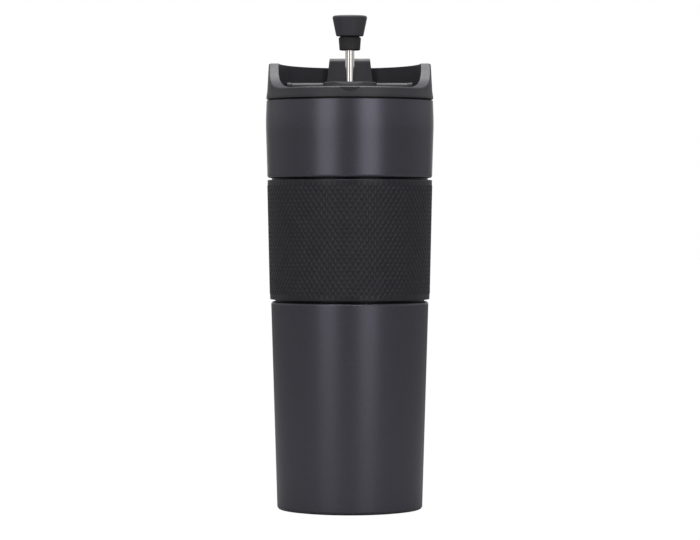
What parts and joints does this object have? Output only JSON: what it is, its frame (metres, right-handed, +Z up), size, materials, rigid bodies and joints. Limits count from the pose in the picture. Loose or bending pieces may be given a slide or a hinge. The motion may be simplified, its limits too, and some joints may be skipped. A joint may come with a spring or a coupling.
{
  "type": "travel french press",
  "caption": "Tapered double-walled travel press with a grip band, a low-fronted lid with a flip-up drinking flap, and a filter plunger on a steel rod with a conical knob.",
  "frame": {"origin": "middle of the foot, on the surface that the press stands on", "axes": "+Z up along the cup's axis, -Y towards the low front of the lid's rim, +X to the right seen from the front"},
  "size_m": [0.0808, 0.0808, 0.2382],
  "materials": {
    "painted_body": "satin metallic graphite paint on steel",
    "steel_vessel": "brushed stainless steel",
    "grip_silicone": "moulded matte silicone",
    "black_silicone": "matte black silicone",
    "black_plastic": "fine satin black polypropylene",
    "knob_plastic": "fine satin black nylon",
    "polished_steel": "polished stainless steel",
    "steel_fittings": "pressed and turned stainless steel",
    "filter_weave": "fine stainless wire mesh",
    "brass_insert": "turned brass"
  },
  "bodies": {
    "cup": {"outer_shell": "painted_body", "inner_shell": "steel_vessel", "base_plate": "steel_vessel", "base_pad": "black_silicone", "vacuum_getter": "steel_vessel", "grip_sleeve": "grip_silicone"},
    "lid_seal": {"lid_seal_ring": "black_silicone"},
    "lid": {"lid_top": "black_plastic", "lid_plug": "black_plastic"},
    "wiper": {"rod_wiper": "black_silicone"},
    "plunger": {"knob": "knob_plastic", "knob_insert": "brass_insert", "knob_collar": "black_silicone", "plunger_rod": "polished_steel", "stop_nut": "steel_fittings", "hub_nut": "steel_fittings", "cross_plate": "steel_fittings", "filter_mesh": "filter_weave", "spiral_plate": "steel_fittings", "edge_spring": "steel_fittings"},
    "flap": {"drink_flap": "black_plastic", "flap_pin": "knob_plastic", "drink_plug": "black_silicone", "vent_plug": "black_silicone"}
  },
  "joints": [
    {"name": "lid_lift", "type": "slide", "parent": "cup", "child": "lid_seal", "axis": [0, 0, 1], "range_m": [0, 0.2]},
    {"name": "lid_turn", "type": "hinge", "parent": "lid_seal", "child": "lid", "pos_m": [0, 0, 0.19], "axis": [0, 0, 1], "continuous": true},
    {"name": "plunger_turn", "type": "hinge", "parent": "lid", "child": "wiper", "pos_m": [0, 0, 0.195], "axis": [0, 0, 1], "continuous": true},
    {"name": "plunger_slide", "type": "slide", "parent": "wiper", "child": "plunger", "axis": [0, 0, 1], "range_m": [-0.0219, 0.12]},
    {"name": "flap_hinge", "type": "hinge", "parent": "lid", "child": "flap", "pos_m": [0, 0.011, 0.20435], "axis": [1, 0, 0], "range_deg": [0, 55]}
  ]
}
